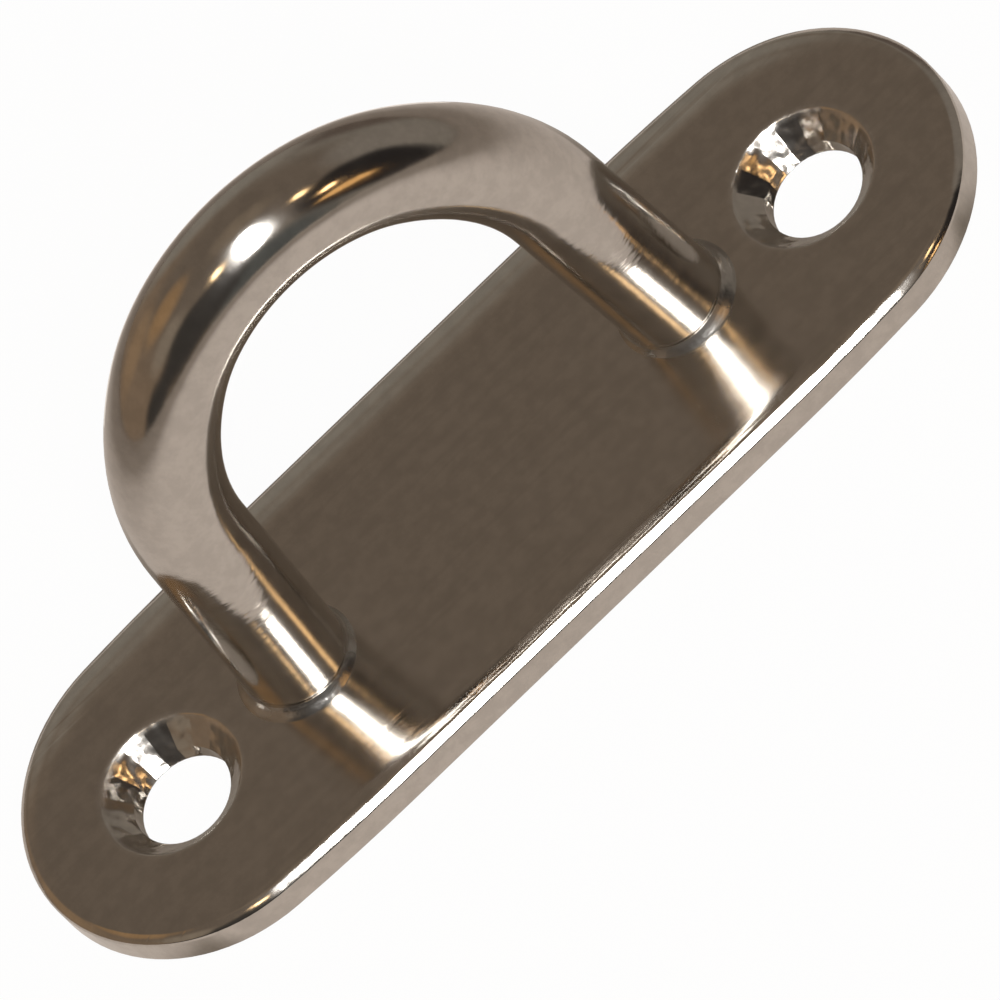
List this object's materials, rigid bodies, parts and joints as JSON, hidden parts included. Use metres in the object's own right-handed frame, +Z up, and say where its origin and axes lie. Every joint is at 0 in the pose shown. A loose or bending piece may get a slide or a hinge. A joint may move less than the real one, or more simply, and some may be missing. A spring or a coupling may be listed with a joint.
{
  "type": "lashing eye",
  "caption": "Polished stainless lashing eye: a round bar bent to an arch, let into an oblong plate with a countersunk screw hole near each end.",
  "frame": {"origin": "middle of the plate's back face, which lies on the deck", "axes": "+X along the plate, +Y across it and through the eye, +Z up from the deck towards the top of the bow"},
  "size_m": [0.0624, 0.0206, 0.0321],
  "materials": {
    "plate_steel": "polished",
    "bow_steel": "polished",
    "bead_steel": "polished",
    "weld_steel": "ground"
  },
  "bodies": {
    "root": {"base_plate": "plate_steel", "bow": "bow_steel", "bead_left": "bead_steel", "bead_right": "bead_steel", "weld_left": "weld_steel", "weld_right": "weld_steel"}
  },
  "joints": []
}
